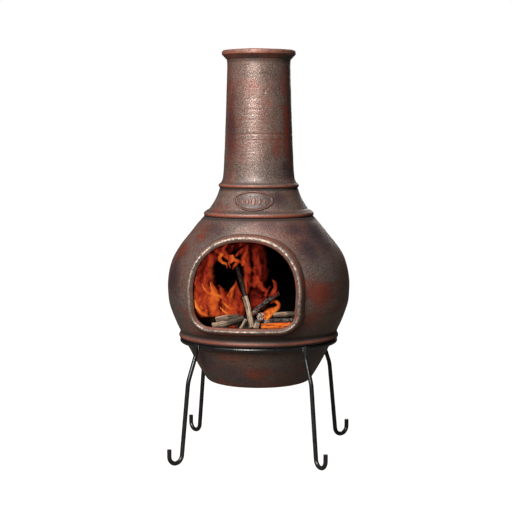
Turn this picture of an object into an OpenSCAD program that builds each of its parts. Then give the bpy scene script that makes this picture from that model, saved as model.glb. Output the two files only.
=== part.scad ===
// Garden chiminea: a clay fire pot with an arched mouth, a chimney stack that
// sits on it, and a four-legged stand of bent round bar.
// Origin: on the floor, below the pot's axis. +Z is up and the mouth faces -Y.

/* [Fire pot] */
// Largest radius of the belly
belly_r = 250; // [246:1:253]
// Height of the belly's widest level above the floor
belly_z = 462; // [458:1:466]
// Radius of the flat base
base_r = 128; // [122:1:134]
// Height of the flat base above the floor
base_z = 195; // [190:1:200]
// Outer radius of the flange that rests on the stand
flange_r = 220; // [218:1:224]
// Height of the flange's underside above the floor
flange_z = 316; // [314:1:320]
// Thickness of the clay at the base
wall = 24; // [20:1:28]

/* [Mouth] */
// Half of the width of the mouth
mouth_half_w = 136; // [130:1:142]
// Sideways shift of the mouth from the pot's centre line
mouth_shift = -2; // [-3:0.5:3]
// Height of the mouth's sill above the floor
mouth_sill_z = 371; // [368:1:378]
// Height of the mouth's crown above the floor
mouth_crown_z = 592; // [586:1:600]
// Radius of the two lower corners
mouth_corner_r = 42; // [34:1:46]
// How far the rim's crest stands out from the belly
rim_rise = 22; // [16:1:22]

/* [Chimney stack] */
// Height of the seat between fire pot and stack above the floor
seat_z = 650; // [648:1:654]
// Overall height, to the top of the lip
total_h = 1100; // [1080:1:1120]
// Radius of the flue
flue_r = 68; // [62:1:70]
// Outer radius of the neck below the lip
neck_r = 87; // [86:1:90]
// Outer radius of the lip
lip_r = 101.5; // [98:0.5:106]

/* [Plaque] */
// Half of the width of the oval plaque
plaque_half_w = 53.5; // [44:0.5:56]
// Half of the height of the oval plaque
plaque_half_h = 26; // [20:0.5:26]
// Turn of the plaque from the mouth's centre line, degrees
plaque_turn = 2.7; // [-6:0.1:6]

/* [Stand] */
// Diameter of the round bar
bar_d = 12; // [10:1:12]
// Radius of the ring, at the middle of the bar
ring_r = 211; // [211:0.5:212]
// Angle of each front leg from the mouth's centre line
front_leg_angle = 41; // [36:1:46]
// Angle of each rear leg from the mouth's centre line
rear_leg_angle = 133; // [128:1:138]
// Turn of the stand under the pot, degrees
stand_turn = 2; // [-10:1:10]
// Radius of each foot's bend, at the middle of the bar
foot_bend_r = 21; // [18:1:24]

/* [Fire bed] */
// Height of the top of the lava stones above the floor
bed_z = 352; // [350:1:353]

/* [Hidden] */

$fn = 96;
gap = 0.3;
bar_r = bar_d / 2;
far = 400;
curve_steps = 3;
clay = [0.42, 0.28, 0.23];
steel = [0.14, 0.13, 0.13];
pale_wood = [0.62, 0.55, 0.43];
charred_wood = [0.12, 0.11, 0.10];
ember = [0.85, 0.40, 0.12];

// ---- outlines -------------------------------------------------------------

// One point of a smooth curve between b and c, with neighbours a and d.
function curve_point(a, b, c, d, t) =
    (2 * b + (c - a) * t + (2 * a - 5 * b + 4 * c - d) * t ^ 2
     + (3 * b - a - 3 * c + d) * t ^ 3) / 2;

// A smooth curve through every point of p.
function smooth(p, steps = curve_steps) = concat(
    [for (i = [0 : len(p) - 2], k = [0 : steps - 1])
        curve_point(p[max(i - 1, 0)], p[i], p[i + 1],
                    p[min(i + 2, len(p) - 1)], k / steps)],
    [p[len(p) - 1]]);

function arc(centre, r, from, to, steps) =
    [for (k = [0 : steps]) let (a = from + (to - from) * k / steps)
        centre + r * [cos(a), sin(a)]];

// [radius, height] outline of the bowl under the flange, from the base up.
bowl_top_r = flange_r - 16;
bowl = smooth([[base_r, base_z],
               [base_r + 13, base_z + 5],
               [base_r + 24, base_z + 19],
               [base_r + 48, base_z + 60],
               [base_r + 61, base_z + 85],
               [bowl_top_r, flange_z - 8]]);

// Rolled edge of the flange, and the shallow groove above it.
flange = concat([[bowl_top_r, flange_z], [flange_r - 7, flange_z]],
                smooth([[flange_r - 2, flange_z + 3],
                        [flange_r, flange_z + 9],
                        [flange_r - 3.5, flange_z + 17],
                        [flange_r - 2.5, flange_z + 22]]));

// Belly, from above the flange to the shoulder that the stack sits on.
seat_r = belly_r - 100;
belly = smooth([[flange_r - 2.5, flange_z + 22],
                [belly_r - 21, belly_z - 98],
                [belly_r - 10.5, belly_z - 70],
                [belly_r - 3, belly_z - 43],
                [belly_r, belly_z - 12],
                [belly_r - 0.5, belly_z + 16],
                [belly_r - 6.5, belly_z + 50],
                [belly_r - 17, belly_z + 80],
                [belly_r - 35, belly_z + 109],
                [belly_r - 62, belly_z + 143],
                [belly_r - 84, seat_z - 17],
                [seat_r, seat_z]]);

// Inside of the fire pot, from the shoulder down to the floor of the bowl.
pot_mouth_r = 106;
pot_inside = smooth([[pot_mouth_r, seat_z - 2],
                     [belly_r - 121, seat_z - 15],
                     [belly_r - 81, seat_z - 50],
                     [belly_r - 47, belly_z + 94],
                     [belly_r - 26, belly_z + 45],
                     [belly_r - 20, belly_z],
                     [belly_r - 28, belly_z - 62],
                     [belly_r - 50, belly_z - 110],
                     [bowl_top_r - 26, flange_z],
                     [base_r + 28, base_z + 78],
                     [base_r + 6, base_z + 40],
                     [base_r - 12, base_z + wall + 3],
                     [base_r - 26, base_z + wall]]);

// Upstanding ring that keeps the stack central on its seat.
spigot_r = 118;
spigot_h = 20;

pot_outline = concat([[0, base_z]], bowl, flange, belly,
                     [[spigot_r, seat_z], [spigot_r, seat_z + spigot_h],
                      [pot_mouth_r, seat_z + spigot_h]],
                     pot_inside, [[0, base_z + wall]]);

pot_solid_outline = concat([[0, base_z]], bowl, flange, belly, [[0, seat_z]]);

// Outer outline of the stack, from its seat up: bead, flared collar, bead,
// tapered neck and lip.
collar = smooth([[135, seat_z + 21], [118, seat_z + 49],
                 [109.5, seat_z + 71], [107.5, seat_z + 77.5]]);
neck = smooth([[103.5, seat_z + 93], [98, seat_z + 111],
               [neck_r + 7.5, seat_z + 170], [neck_r + 4, total_h - 190],
               [neck_r + 1, total_h - 100], [neck_r, total_h - 34],
               [neck_r + 5, total_h - 22], [lip_r - 2, total_h - 14]]);
stack_outside = concat(
    [[147, seat_z + gap], [149.5, seat_z + 2]],
    arc([145, seat_z + 7.5], 6, -20, 60, 4),
    [[143, seat_z + 16]],
    collar,
    arc([105, seat_z + 84], 6, -60, 75, 5),
    neck,
    arc([lip_r - 2.5, total_h - 11], 2.5, -40, 0, 2),
    arc([lip_r - 6, total_h - 6], 6, 0, 90, 4));
stack_inside = concat(
    [[flue_r + 3, total_h], [flue_r, total_h - 3], [flue_r, seat_z + 115]],
    smooth([[flue_r, seat_z + 112], [flue_r + 4, seat_z + 88],
            [flue_r + 14, seat_z + 60], [flue_r + 26, seat_z + 38],
            [flue_r + 34, seat_z + spigot_h + 2]]),
    [[spigot_r + 1.5, seat_z + spigot_h + 2], [spigot_r + 1.5, seat_z + gap]]);

// Upper half of the mouth is a squared arch, x^n + z^n = 1.
arch_n = 2.3;
function arch_power(v) = sign(v) * abs(v) ^ (2 / arch_n);

// The mouth's outline seen from the front, grown at the sides, crown and sill.
function mouth_outline(side = 0, crown = 0, sill = 0) =
    let (w = mouth_half_w + side,
         mid = mouth_crown_z - mouth_half_w,
         h = mouth_half_w + crown,
         low = mouth_sill_z - sill,
         c = mouth_corner_r + min(side, sill),
         inset = 3)
    [for (p = concat(
        [for (a = [0 : 7.5 : 180])
            [w * arch_power(cos(a)), mid + h * arch_power(sin(a))]],
        arc([c - w + inset, low + c], c, 180, 270, 6),
        arc([w - inset - c, low + c], c, 270, 360, 6)))
        p + [mouth_shift, 0]];

// Growth of the rim [at the sides, at the crown, at the sill]: where its
// skirt meets the belly, and at the outer edge of its crest.
rim_skirt = [23, 21, 24];
rim_crest = [16, 16, 12];
rim_steps = 3;

// ---- helpers --------------------------------------------------------------

// A round bar from a to b, with an optional taper.
module bar(a, b, r, end_r = 0) {
    v = b - a;
    translate(a)
        rotate([0, acos(v.z / norm(v)), atan2(v.y, v.x)])
            cylinder(h = norm(v), r1 = r, r2 = end_r > 0 ? end_r : r, $fn = 32);
}

// Extrudes a front view outline from the axis plane out through the mouth.
module toward_front(depth = far) {
    rotate([90, 0, 0])
        linear_extrude(depth)
            children();
}

// The belly's solid, grown outwards by rise.
module grown_belly(rise) {
    rotate_extrude()
        polygon(concat([[0, flange_z]],
                       [for (p = belly) p + [rise, 0]],
                       [[0, seat_z]]));
}

module pot_solid() {
    rotate_extrude()
        polygon(pot_solid_outline);
}

// The stack's collar as a solid, grown outwards by rise.
module grown_collar(rise) {
    rotate_extrude()
        polygon(concat([[0, collar[0].y]],
                       [for (p = collar) p + [rise, 0]],
                       [[0, collar[len(collar) - 1].y]]));
}

function ellipse(half_w, half_h, steps = 48) =
    [for (k = [0 : steps - 1])
        [half_w * cos(360 * k / steps), half_h * sin(360 * k / steps)]];

// ---- clay -----------------------------------------------------------------

module fire_pot() {
    color(clay)
        difference() {
            rotate_extrude()
                polygon(pot_outline);
            toward_front()
                polygon(mouth_outline());
        }
}

// The rim's side slopes back to the belly in rim_steps steps.
module mouth_rim() {
    color(clay)
        difference() {
            union() {
                for (k = [1 : rim_steps]) {
                    share = (k - 1) / (rim_steps - 1);
                    grow = rim_skirt + (rim_crest - rim_skirt) * share;
                    intersection() {
                        toward_front()
                            polygon(mouth_outline(grow[0], grow[1], grow[2]));
                        grown_belly(rim_rise * k / rim_steps);
                    }
                }
            }
            pot_solid();
            toward_front()
                polygon(mouth_outline());
        }
}

module chimney_stack() {
    color(clay)
        rotate_extrude()
            polygon(concat(stack_outside, stack_inside));
}

// An oval with a raised border, pressed onto the collar.
plaque_z = seat_z + 47;
plaque_border = 5;
border_rise = 5;
field_rise = 3;

module plaque_layer(half_w, half_h, rise) {
    intersection() {
        rotate([0, 0, plaque_turn])
            translate([0, 0, plaque_z])
                toward_front()
                    polygon(ellipse(half_w, half_h));
        grown_collar(rise);
    }
}

module oval_plaque() {
    color(clay)
        difference() {
            union() {
                plaque_layer(plaque_half_w - plaque_border,
                             plaque_half_h - plaque_border, field_rise);
                difference() {
                    plaque_layer(plaque_half_w, plaque_half_h, border_rise);
                    plaque_layer(plaque_half_w - plaque_border,
                                 plaque_half_h - plaque_border,
                                 border_rise + 1);
                }
            }
            grown_collar(0);
        }
}

// ---- stand ----------------------------------------------------------------

ring_z = flange_z - gap - bar_r;
leg_top_r = ring_r + bar_d;
foot_in_r = leg_top_r + 51;
foot_out_r = foot_in_r + 1.92 * foot_bend_r;

// [radius, height] corners of a leg's middle line: top, knee, hip and the
// hook that is its foot. Each inner corner is rounded by the bend beside it.
leg_path = [[leg_top_r, ring_z + 4], [leg_top_r + 1, ring_z - 24],
            [leg_top_r + 27, ring_z - 92], [foot_in_r, bar_r],
            [foot_out_r, bar_r], [foot_out_r, bar_r + foot_bend_r + 19]];
leg_bends = [0, 40, 80, foot_bend_r, foot_bend_r, 0];

// Direction of the path's run from corner i to the next one, in degrees.
function heading(path, i) =
    let (v = path[i + 1] - path[i]) atan2(v.y, v.x);
function unit(angle) = [cos(angle), sin(angle)];

// Turn at corner i, and the length of straight that its bend takes up.
function turn_at(path, i) = heading(path, i) - heading(path, i - 1);
function bend_reach(path, bends, i) =
    bends[i] * tan(abs(turn_at(path, i)) / 2);

function in_plane(p) = [p.x, 0, p.y];

// Where the bend at corner i starts or ends on its straight runs.
function bend_start(path, bends, i) =
    path[i] - unit(heading(path, i - 1)) * bend_reach(path, bends, i);
function bend_end(path, bends, i) =
    path[i] + unit(heading(path, i)) * bend_reach(path, bends, i);

// The bend at corner i, as part of a torus.
module bend(path, bends, i, r) {
    turn = turn_at(path, i);
    side = turn > 0 ? 90 : -90;
    centre = bend_start(path, bends, i)
             + unit(heading(path, i - 1) + side) * bends[i];
    from = min(heading(path, i - 1), heading(path, i)) - side;
    rotate([90, 0, 0])
        translate([centre.x, centre.y, 0])
            rotate([0, 0, from])
                rotate_extrude(angle = abs(turn))
                    translate([bends[i], 0])
                        circle(r = r, $fn = 32);
}

// A round bar along a path in the XZ plane: straight runs and true bends,
// with a hair-thin swell where a bend begins and ends.
module bent_bar(path, bends, r) {
    last = len(path) - 1;
    swell = 0.15;
    for (i = [0 : last - 1]) {
        bar(in_plane(i == 0 ? path[0] : bend_end(path, bends, i)),
            in_plane(i == last - 1 ? path[last]
                                   : bend_start(path, bends, i + 1)), r);
        if (i > 0) {
            bend(path, bends, i, r);
            for (p = [bend_start(path, bends, i), bend_end(path, bends, i)])
                translate(in_plane(p))
                    sphere(r = r + swell, $fn = 32);
        }
    }
}

module ring_shape() {
    translate([0, 0, ring_z])
        rotate_extrude()
            translate([ring_r, 0])
                circle(r = bar_r, $fn = 32);
}

module stand_ring() {
    color(steel)
        ring_shape();
}

module leg_shape() {
    bent_bar(leg_path, leg_bends, bar_r);
}

// Turns a shape from +X to an angle measured from the mouth's centre line.
module at_angle(angle) {
    rotate([0, 0, angle + stand_turn - 90])
        children();
}

module leg(angle) {
    color(steel)
        at_angle(angle)
            leg_shape();
}

module front_left_leg() {
    leg(-front_leg_angle);
}

module front_right_leg() {
    leg(front_leg_angle);
}

module rear_left_leg() {
    leg(-rear_leg_angle);
}

module rear_right_leg() {
    leg(rear_leg_angle);
}

// A bead of weld under the ring at each leg.
weld_r = 8;

module leg_welds() {
    color(steel)
        for (angle = [-front_leg_angle, front_leg_angle,
                      -rear_leg_angle, rear_leg_angle])
            difference() {
                at_angle(angle)
                    translate([ring_r + bar_r, 0, ring_z - bar_r])
                        sphere(r = weld_r, $fn = 24);
                at_angle(angle)
                    leg_shape();
                ring_shape();
            }
}

// ---- fire -----------------------------------------------------------------

// Lava stones that keep the fire off the clay, as one solid in the bowl.
module lava_stone_bed() {
    color(charred_wood)
        intersection() {
            rotate_extrude()
                polygon(concat(pot_inside,
                               [[0, base_z + wall], [0, seat_z]]));
            translate([0, 0, base_z])
                cylinder(h = bed_z - base_z, r = belly_r);
        }
}

module upright_stick() {
    color(pale_wood)
        bar([7, -152, 361], [-17, -120, 441], 8);
}

module kindling_stick() {
    color(pale_wood)
        bar([-22, -165, 358], [-6, -172, 386], 5);
}

module upper_left_stick() {
    color(pale_wood)
        bar([-98, -114, 374], [-36, -104, 385], 10, 8);
}

module lower_left_stick() {
    color(pale_wood)
        bar([-100, -152, 363], [-19, -128, 385], 10, 8);
}

module charred_upright_stick() {
    color(charred_wood)
        bar([-2, -94, 361], [-50, -80, 528], 8, 6.5);
}

module leaning_charred_stick() {
    color(charred_wood)
        bar([-1, -112, 391], [64, -52, 442], 8, 7);
}

module ember_log() {
    color(charred_wood)
        bar([24, -122, 388], [42, -20, 368], 12);
}

module right_pale_stick() {
    color(pale_wood)
        bar([56, -92, 387], [118, -86, 391], 8);
}

module right_charred_stick() {
    color(charred_wood)
        bar([37, -134, 374], [113, -122, 380], 8, 7);
}

module ember_slab() {
    color(ember)
        bar([36, -174, 369], [111, -154, 372], 8);
}

module short_stub() {
    color(pale_wood)
        bar([20, -168, 361], [24, -154, 381], 8);
}

module dark_side_log() {
    color(charred_wood)
        bar([-165, -60, 364], [-100, -60, 364], 11);
}

fire_pot();
mouth_rim();
chimney_stack();
oval_plaque();
stand_ring();
front_left_leg();
front_right_leg();
rear_left_leg();
rear_right_leg();
leg_welds();
lava_stone_bed();
upright_stick();
kindling_stick();
upper_left_stick();
lower_left_stick();
charred_upright_stick();
leaning_charred_stick();
ember_log();
right_pale_stick();
right_charred_stick();
ember_slab();
short_stub();
dark_side_log();
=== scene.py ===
"""A clay chiminea with a lit log fire, in its stand of bent round bar.

Sizes are in millimetres, in the frame's own axes, and turn into metres when a mesh is made. The driving
sizes come from the frame; the outlines and the places of sticks repeat what the CAD model says.
"""
import math
import random

import bpy
import bmesh
import numpy as np
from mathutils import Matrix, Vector, noise


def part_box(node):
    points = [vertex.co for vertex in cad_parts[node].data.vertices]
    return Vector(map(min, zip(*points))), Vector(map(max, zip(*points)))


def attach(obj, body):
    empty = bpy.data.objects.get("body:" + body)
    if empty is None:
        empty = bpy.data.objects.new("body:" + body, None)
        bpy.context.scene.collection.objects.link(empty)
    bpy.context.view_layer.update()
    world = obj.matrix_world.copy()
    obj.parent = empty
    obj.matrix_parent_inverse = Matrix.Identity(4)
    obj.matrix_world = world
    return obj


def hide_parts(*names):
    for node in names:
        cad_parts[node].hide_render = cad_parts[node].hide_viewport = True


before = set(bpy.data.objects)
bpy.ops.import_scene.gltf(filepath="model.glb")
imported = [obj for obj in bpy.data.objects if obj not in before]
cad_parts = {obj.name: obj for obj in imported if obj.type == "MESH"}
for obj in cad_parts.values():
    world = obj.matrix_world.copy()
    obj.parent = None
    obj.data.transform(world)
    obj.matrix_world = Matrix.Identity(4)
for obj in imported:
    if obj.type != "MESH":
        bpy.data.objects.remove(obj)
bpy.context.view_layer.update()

MM = 0.001


def node_box(name):
    """Lowest and highest corner of a CAD node, in millimetres."""
    low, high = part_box(name)
    return Vector(low) / MM, Vector(high) / MM


# ---- driving sizes, from the frame ----

pot_low, pot_high = node_box("fire_pot")
_, stack_high = node_box("chimney_stack")
ring_low, ring_high = node_box("stand_ring")
_, bed_high = node_box("lava_stone_bed")

BASE_Z = pot_low.z
BELLY_R = pot_high.x
SPIGOT_H = 20
SEAT_Z = pot_high.z - SPIGOT_H
TOTAL_H = stack_high.z
BAR_R = (ring_high.z - ring_low.z) / 2
RING_Z = (ring_high.z + ring_low.z) / 2
RING_R = ring_high.x - BAR_R
BED_Z = bed_high.z

GAP = 0.3
FLANGE_Z = RING_Z + BAR_R + GAP
FLANGE_R = 220
BELLY_Z = 462
BASE_R = 128
WALL = 24
FLUE_R = 68
NECK_R = 87
LIP_R = 101.5
SPIGOT_R = 118
FLUE_THROAT_R = 106

# ---- curves ----


def curve_point(a, b, c, d, t):
    """One point of a smooth curve between b and c, with neighbours a and d."""
    return (2 * b + (c - a) * t + (2 * a - 5 * b + 4 * c - d) * t**2 + (3 * b - a - 3 * c + d) * t**3) / 2


def smooth(points, steps=8):
    """A smooth curve through every point."""
    p = [np.array(q, float) for q in points]
    out = []
    for i in range(len(p) - 1):
        before, after = p[max(i - 1, 0)], p[min(i + 2, len(p) - 1)]
        out += [curve_point(before, p[i], p[i + 1], after, k / steps) for k in range(steps)]
    return out + [p[-1]]


def arc(centre, radius, start, end, steps):
    """Points on a circle, from one angle to another in degrees."""
    angles = [math.radians(start + (end - start) * k / steps) for k in range(steps + 1)]
    return [np.array([centre[0] + radius * math.cos(a), centre[1] + radius * math.sin(a)]) for a in angles]


def circle(sides):
    """Cosine and sine at equal steps round a circle."""
    angles = [2 * math.pi * k / sides for k in range(sides)]
    return [(math.cos(a), math.sin(a)) for a in angles]


def dense(points, longest):
    """The same outline with no stretch longer than longest."""
    out = [np.array(points[0], float)]
    for q in points[1:]:
        q = np.array(q, float)
        n = max(1, math.ceil(np.linalg.norm(q - out[-1]) / longest))
        a = out[-1]
        out += [a + (q - a) * k / n for k in range(1, n + 1)]
    return out


def by_height(outline):
    """An outline's heights, lowest first, and the radius at each."""
    pts = np.array(sorted((float(p[1]), float(p[0])) for p in outline))
    return pts[:, 0], pts[:, 1]


def radius_at(table, z):
    """Radius of an outline at one height or at many, from its by_height table."""
    return np.interp(z, *table)


# ---- outlines of the clay, [radius, height] ----


def beside(radius, z, steps):
    """Points of an outline, each some steps out and up from one place."""
    return [[radius + out, z + up] for out, up in steps]


SEAT_R = BELLY_R - 100
BOWL_TOP_R = FLANGE_R - 16
FLANGE_FOOT, FLANGE_TOP = beside(FLANGE_R, FLANGE_Z, [(-7, 0), (-2.5, 22)])
BOWL = smooth(
    beside(BASE_R, BASE_Z, [(0, 0), (13, 5), (24, 19), (48, 60), (61, 85)]) + [[BOWL_TOP_R, FLANGE_Z - 8]])
FLANGE = [[BOWL_TOP_R, FLANGE_Z], FLANGE_FOOT] + smooth(
    beside(FLANGE_R, FLANGE_Z, [(-2, 3), (0, 9), (-3.5, 17)]) + [FLANGE_TOP])
BELLY = smooth(
    [FLANGE_TOP]
    + beside(BELLY_R, BELLY_Z, [
        (-21, -98), (-10.5, -70), (-3, -43), (0, -12), (-0.5, 16), (-6.5, 50), (-17, 80), (-35, 109),
        (-62, 143)])
    + [[BELLY_R - 84, SEAT_Z - 17], [SEAT_R, SEAT_Z]])
POT_INSIDE = smooth(
    [[FLUE_THROAT_R, SEAT_Z - 2]] + beside(BELLY_R, SEAT_Z, [(-121, -15), (-81, -50)])
    + beside(BELLY_R, BELLY_Z, [(-47, 94), (-26, 45), (-20, 0), (-28, -62), (-50, -110)])
    + [[BOWL_TOP_R - 26, FLANGE_Z]]
    + beside(BASE_R, BASE_Z, [(28, 78), (6, 40), (-12, WALL + 3), (-26, WALL)]))
POT_OUTLINE = (
    [[0, BASE_Z]] + BOWL + FLANGE + BELLY
    + [[SPIGOT_R, SEAT_Z], [SPIGOT_R, SEAT_Z + SPIGOT_H], [FLUE_THROAT_R, SEAT_Z + SPIGOT_H]]
    + POT_INSIDE + [[0, BASE_Z + WALL]]
)
COLLAR = smooth(beside(0, SEAT_Z, [(135, 21), (118, 49), (109.5, 71), (107.5, 77.5)]))
NECK = smooth(
    beside(0, SEAT_Z, [(103.5, 93), (98, 111), (NECK_R + 7.5, 170)])
    + beside(NECK_R, TOTAL_H, [(4, -190), (1, -100), (0, -34), (5, -22)]) + [[LIP_R - 2, TOTAL_H - 14]])
LOW_BEAD = (145, SEAT_Z + 7.5)
HIGH_BEAD = (105, SEAT_Z + 84)
BEAD_R = 6
STACK_OUTSIDE = (
    [[147, SEAT_Z + GAP], [149.5, SEAT_Z + 2]] + arc(LOW_BEAD, BEAD_R, -20, 60, 10) + [[143, SEAT_Z + 16]]
    + COLLAR + arc(HIGH_BEAD, BEAD_R, -60, 75, 14) + NECK
    + arc((LIP_R - 2.5, TOTAL_H - 11), 2.5, -40, 0, 5) + arc((LIP_R - 6, TOTAL_H - 6), 6, 0, 90, 10)
)
STACK_INSIDE = (
    [[FLUE_R + 3, TOTAL_H], [FLUE_R, TOTAL_H - 3], [FLUE_R, SEAT_Z + 115]]
    + smooth(beside(FLUE_R, SEAT_Z, [(0, 112), (4, 88), (14, 60), (26, 38), (34, SPIGOT_H + 2)]))
    + [[SPIGOT_R + 1.5, SEAT_Z + SPIGOT_H + 2], [SPIGOT_R + 1.5, SEAT_Z + GAP]]
)

BOWL_TABLE, BELLY_TABLE, INSIDE_TABLE = by_height(BOWL), by_height(BELLY), by_height(POT_INSIDE)
COLLAR_TABLE, STACK_TABLE = by_height(COLLAR), by_height(STACK_OUTSIDE)

# ---- the mouth ----

MOUTH_HALF_W = 136
MOUTH_SHIFT = -2
MOUTH_SILL_Z = 371
MOUTH_CROWN_Z = 592
MOUTH_CORNER_R = 42
ARCH_N = 2.3
RIM_SKIRT = np.array([23, 21, 24], float)
RIM_CREST = np.array([16, 16, 12], float)


def arch_power(v):
    return math.copysign(abs(v) ** (2 / ARCH_N), v)


def stretch(a, b, steps):
    """Points between a and b, without either end."""
    return [a + (b - a) * k / steps for k in range(1, steps)]


def mouth_outline(grow):
    """The mouth's outline [x, z], grown at the sides, crown and sill, always with as many points."""
    side, crown, sill = grow
    w = MOUTH_HALF_W + side
    middle = MOUTH_CROWN_Z - MOUTH_HALF_W
    h = MOUTH_HALF_W + crown
    low = MOUTH_SILL_Z - sill
    corner = MOUTH_CORNER_R + min(side, sill)
    inset = 3
    turns = [math.radians(a) for a in np.arange(0, 180.1, 1)]
    arch = [np.array([w * arch_power(math.cos(a)), middle + h * arch_power(math.sin(a))]) for a in turns]
    left = arc((corner - w + inset, low + corner), corner, 180, 270, 28)
    right = arc((w - inset - corner, low + corner), corner, 270, 360, 28)
    outline = (
        arch + stretch(arch[-1], left[0], 28) + left + stretch(left[-1], right[0], 96) + right
        + stretch(right[-1], arch[0], 28)
    )
    return [p + (MOUTH_SHIFT, 0) for p in outline]


def on_round(x, z, radius):
    """The point at the front of a round body where it passes x at height z."""
    return (x, -math.sqrt(max(radius * radius - x * x, 0.0)), z)


# ---- meshes ----

# A point of an outline with a smaller radius than this is on the axis.
ON_AXIS = 1e-6
BAR_CHAMFER = 0.8
BAR_SIDES = 28
STICK_SIDES = 44
POT_SIDES = 360
CHIMNEY_SIDES = 300
RING_STEPS = 240
PLAQUE_RINGS = 110
PLAQUE_SIDES = 320
FLAME_COLUMNS = 21


def outward(verts, faces):
    """The same faces of a closed shape, all turned to face outwards."""
    v = np.asarray(verts, float)
    corners = np.array([(f[0], f[i], f[i + 1]) for f in faces for i in range(1, len(f) - 1)])
    a, b, c = v[corners[:, 0]], v[corners[:, 1]], v[corners[:, 2]]
    volume = np.einsum("ij,ij->i", a, np.cross(b, c)).sum()
    return faces if volume > 0 else [tuple(reversed(f)) for f in faces]


def make_object(name, verts, faces, material, body):
    """A mesh piece from points in millimetres, riding on a body."""
    mesh = bpy.data.meshes.new(name)
    mesh.from_pydata((np.asarray(verts, float) * MM).tolist(), [], faces)
    mesh.validate()
    mesh.update()
    obj = bpy.data.objects.new(name, mesh)
    bpy.context.scene.collection.objects.link(obj)
    mesh.materials.append(material)
    mesh.polygons.foreach_set("use_smooth", [True] * len(mesh.polygons))
    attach(obj, body)
    return obj


def add_values(obj, **layers):
    """Stores numbers or vectors, one for each vertex, under the names that the materials read."""
    for name, values in layers.items():
        values = np.asarray(values, np.float32)
        kind, field = ("FLOAT", "value") if values.ndim == 1 else ("FLOAT_VECTOR", "vector")
        obj.data.attributes.new(name, kind, "POINT").data.foreach_set(field, values.ravel())


def sharpen(obj, degrees):
    """Keeps edges sharp where the faces turn by more than an angle."""
    obj.data.set_sharp_from_angle(angle=math.radians(degrees))


def positions(obj):
    """A mesh's points in millimetres."""
    co = np.empty(len(obj.data.vertices) * 3, np.float32)
    obj.data.vertices.foreach_get("co", co)
    return co.reshape(-1, 3).astype(float) / MM


def grid_faces(rows, columns, close_rows=False, close_columns=True):
    """Faces of a grid whose points are stored row by row."""
    faces = []
    for i in range(rows if close_rows else rows - 1):
        a, b = i * columns, (i + 1) % rows * columns
        for j in range(columns if close_columns else columns - 1):
            k = (j + 1) % columns
            faces.append((a + j, a + k, b + k, b + j))
    return faces


def capped_faces(rows, sides):
    """Faces of a tube whose rings of points are stored row by row, with one flat face at each end."""
    last = (rows - 1) * sides
    return grid_faces(rows, sides) + [tuple(reversed(range(sides))), tuple(range(last, last + sides))]


def tipped_faces(rows, sides):
    """Faces of a tube with a fan at each end to a middle point. The two middle points come last."""
    first, last = rows * sides, (rows - 1) * sides
    faces = grid_faces(rows, sides)
    for k in range(sides):
        n = (k + 1) % sides
        faces += [(first, n, k), (first + 1, last + k, last + n)]
    return faces


def lathe(outline, segments, shape):
    """Verts and faces of a turned solid. shape(x, y, z) moves each point a little, as a hand does."""
    rings = [p for p in outline if p[0] >= ON_AXIS]
    verts = [shape(r * c, r * s, z) for r, z in rings for c, s in circle(segments)]
    if len(rings) == len(outline):
        return verts, outward(verts, grid_faces(len(rings), segments, close_rows=True))
    verts += [(0, 0, outline[0][1]), (0, 0, outline[-1][1])]
    return verts, outward(verts, tipped_faces(len(rings), segments))


def frames_along(path):
    """Two directions across a path at each of its points, which turn as little as they can."""
    last = len(path) - 1
    tangents = [(path[min(i + 1, last)] - path[max(i - 1, 0)]).normalized() for i in range(last + 1)]
    across = tangents[0].orthogonal().normalized()
    frames = []
    for t in tangents:
        across = (across - t * across.dot(t)).normalized()
        frames.append((across, t.cross(across)))
    return frames


def tube(path, radius, sides):
    """A round bar along a path, with square ends that have a small chamfer."""
    path = [Vector(p) for p in path]
    verts = []
    for i, (p, (u, v)) in enumerate(zip(path, frames_along(path))):
        r = radius - BAR_CHAMFER if i in (0, len(path) - 1) else radius
        verts += [p + u * (r * c) + v * (r * s) for c, s in circle(sides)]
    return verts, outward(verts, capped_faces(len(path), sides))


# ---- shader helpers ----


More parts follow.
